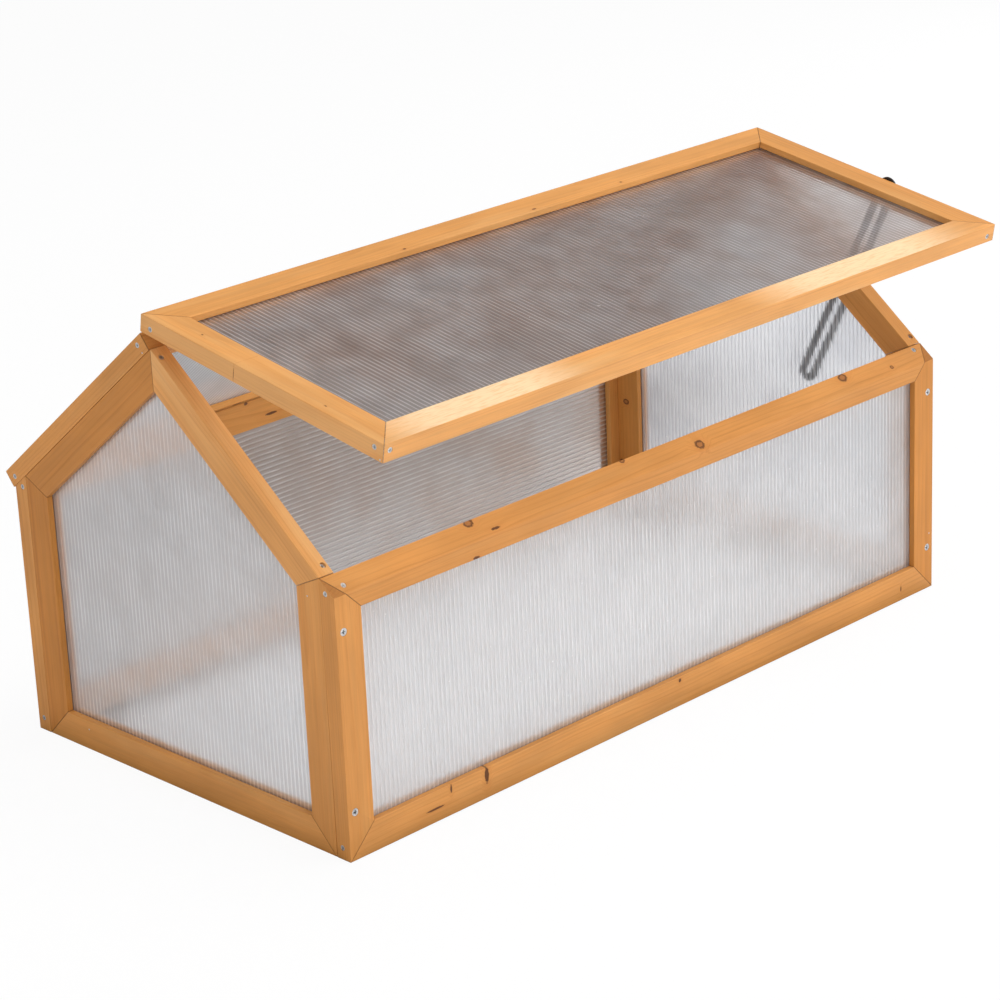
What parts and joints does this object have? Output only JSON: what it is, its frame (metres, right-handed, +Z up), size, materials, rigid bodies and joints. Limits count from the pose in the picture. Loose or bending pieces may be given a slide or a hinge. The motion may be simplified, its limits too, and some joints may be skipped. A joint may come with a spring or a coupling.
{
  "type": "cold frame",
  "caption": "Wooden gable cold frame with twin-wall panels, a fixed back roof and a ridge-hinged front lid held open by a slotted stay.",
  "frame": {"origin": "middle of the underside of the front frame's bottom rail", "axes": "+X along the length, +Y from front to back, +Z up; the lid stands at its usual propped angle"},
  "size_m": [0.9174, 0.58, 0.499],
  "materials": {
    "battens": "stained softwood, planed",
    "twin_wall_sheet": "clear twin-wall polycarbonate, milky from its ribs",
    "screws": "zinc plated",
    "hinges": "zinc plated",
    "stay_hardware": "zinc plated",
    "stay_arm": "black powder coat"
  },
  "bodies": {
    "frame": {"left_end_bottom_rail": "battens", "left_end_front_post": "battens", "left_end_back_post": "battens", "left_end_front_rafter": "battens", "left_end_back_rafter": "battens", "right_end_bottom_rail": "battens", "right_end_front_post": "battens", "right_end_back_post": "battens", "right_end_front_rafter": "battens", "right_end_back_rafter": "battens", "front_bottom_rail": "battens", "front_top_rail": "battens", "front_left_stile": "battens", "front_right_stile": "battens", "back_bottom_rail": "battens", "back_top_rail": "battens", "back_left_stile": "battens", "back_right_stile": "battens", "roof_eave_rail": "battens", "roof_ridge_rail": "battens", "roof_left_rail": "battens", "roof_right_rail": "battens", "left_end_sheet": "twin_wall_sheet", "right_end_sheet": "twin_wall_sheet", "front_sheet": "twin_wall_sheet", "back_sheet": "twin_wall_sheet", "roof_sheet": "twin_wall_sheet", "front_left_lower_screw": "screws", "front_left_upper_screw": "screws", "front_right_lower_screw": "screws", "front_right_upper_screw": "screws", "back_left_lower_screw": "screws", "back_left_upper_screw": "screws", "back_right_lower_screw": "screws", "back_right_upper_screw": "screws", "left_hinge_roof_leaf": "hinges", "left_hinge_roof_screw_1": "screws", "left_hinge_roof_screw_2": "screws", "right_hinge_roof_leaf": "hinges", "right_hinge_roof_screw_1": "screws", "right_hinge_roof_screw_2": "screws", "left_hinge_pin": "hinges", "right_hinge_pin": "hinges", "stay_clamp_bolt": "stay_hardware", "stay_clamp_washer": "stay_hardware"},
    "lid": {"lid_front_rail": "battens", "lid_ridge_rail": "battens", "lid_left_rail": "battens", "lid_right_rail": "battens", "lid_sheet": "twin_wall_sheet", "left_hinge_lid_leaf": "hinges", "left_hinge_lid_screw_1": "screws", "left_hinge_lid_screw_2": "screws", "right_hinge_lid_leaf": "hinges", "right_hinge_lid_screw_1": "screws", "right_hinge_lid_screw_2": "screws", "stay_pivot_screw": "stay_hardware", "stay_pivot_washer": "stay_hardware"},
    "stay": {"stay_arm": "stay_arm"},
    "wing_nut": {"stay_wing_nut": "stay_hardware"}
  },
  "joints": [
    {"name": "lid_hinge", "type": "hinge", "parent": "frame", "child": "lid", "pos_m": [0, 0.24803, 0.48116], "axis": [-1, 0, 0], "range_deg": [-28.8, 47.5]},
    {"name": "stay_pivot", "type": "hinge", "parent": "lid", "child": "stay", "pos_m": [0.4524, 0.05655, 0.45604], "axis": [-1, 0, 0], "range_deg": [-24, 14.6]},
    {"name": "wing_nut_turn", "type": "hinge", "parent": "frame", "child": "wing_nut", "pos_m": [0.4608, 0.11012, 0.34597], "axis": [1, 0, 0], "continuous": true}
  ],
  "couplings": [
    {"joint": "stay_pivot", "follows": "lid_hinge", "ratio": -0.5}
  ]
}
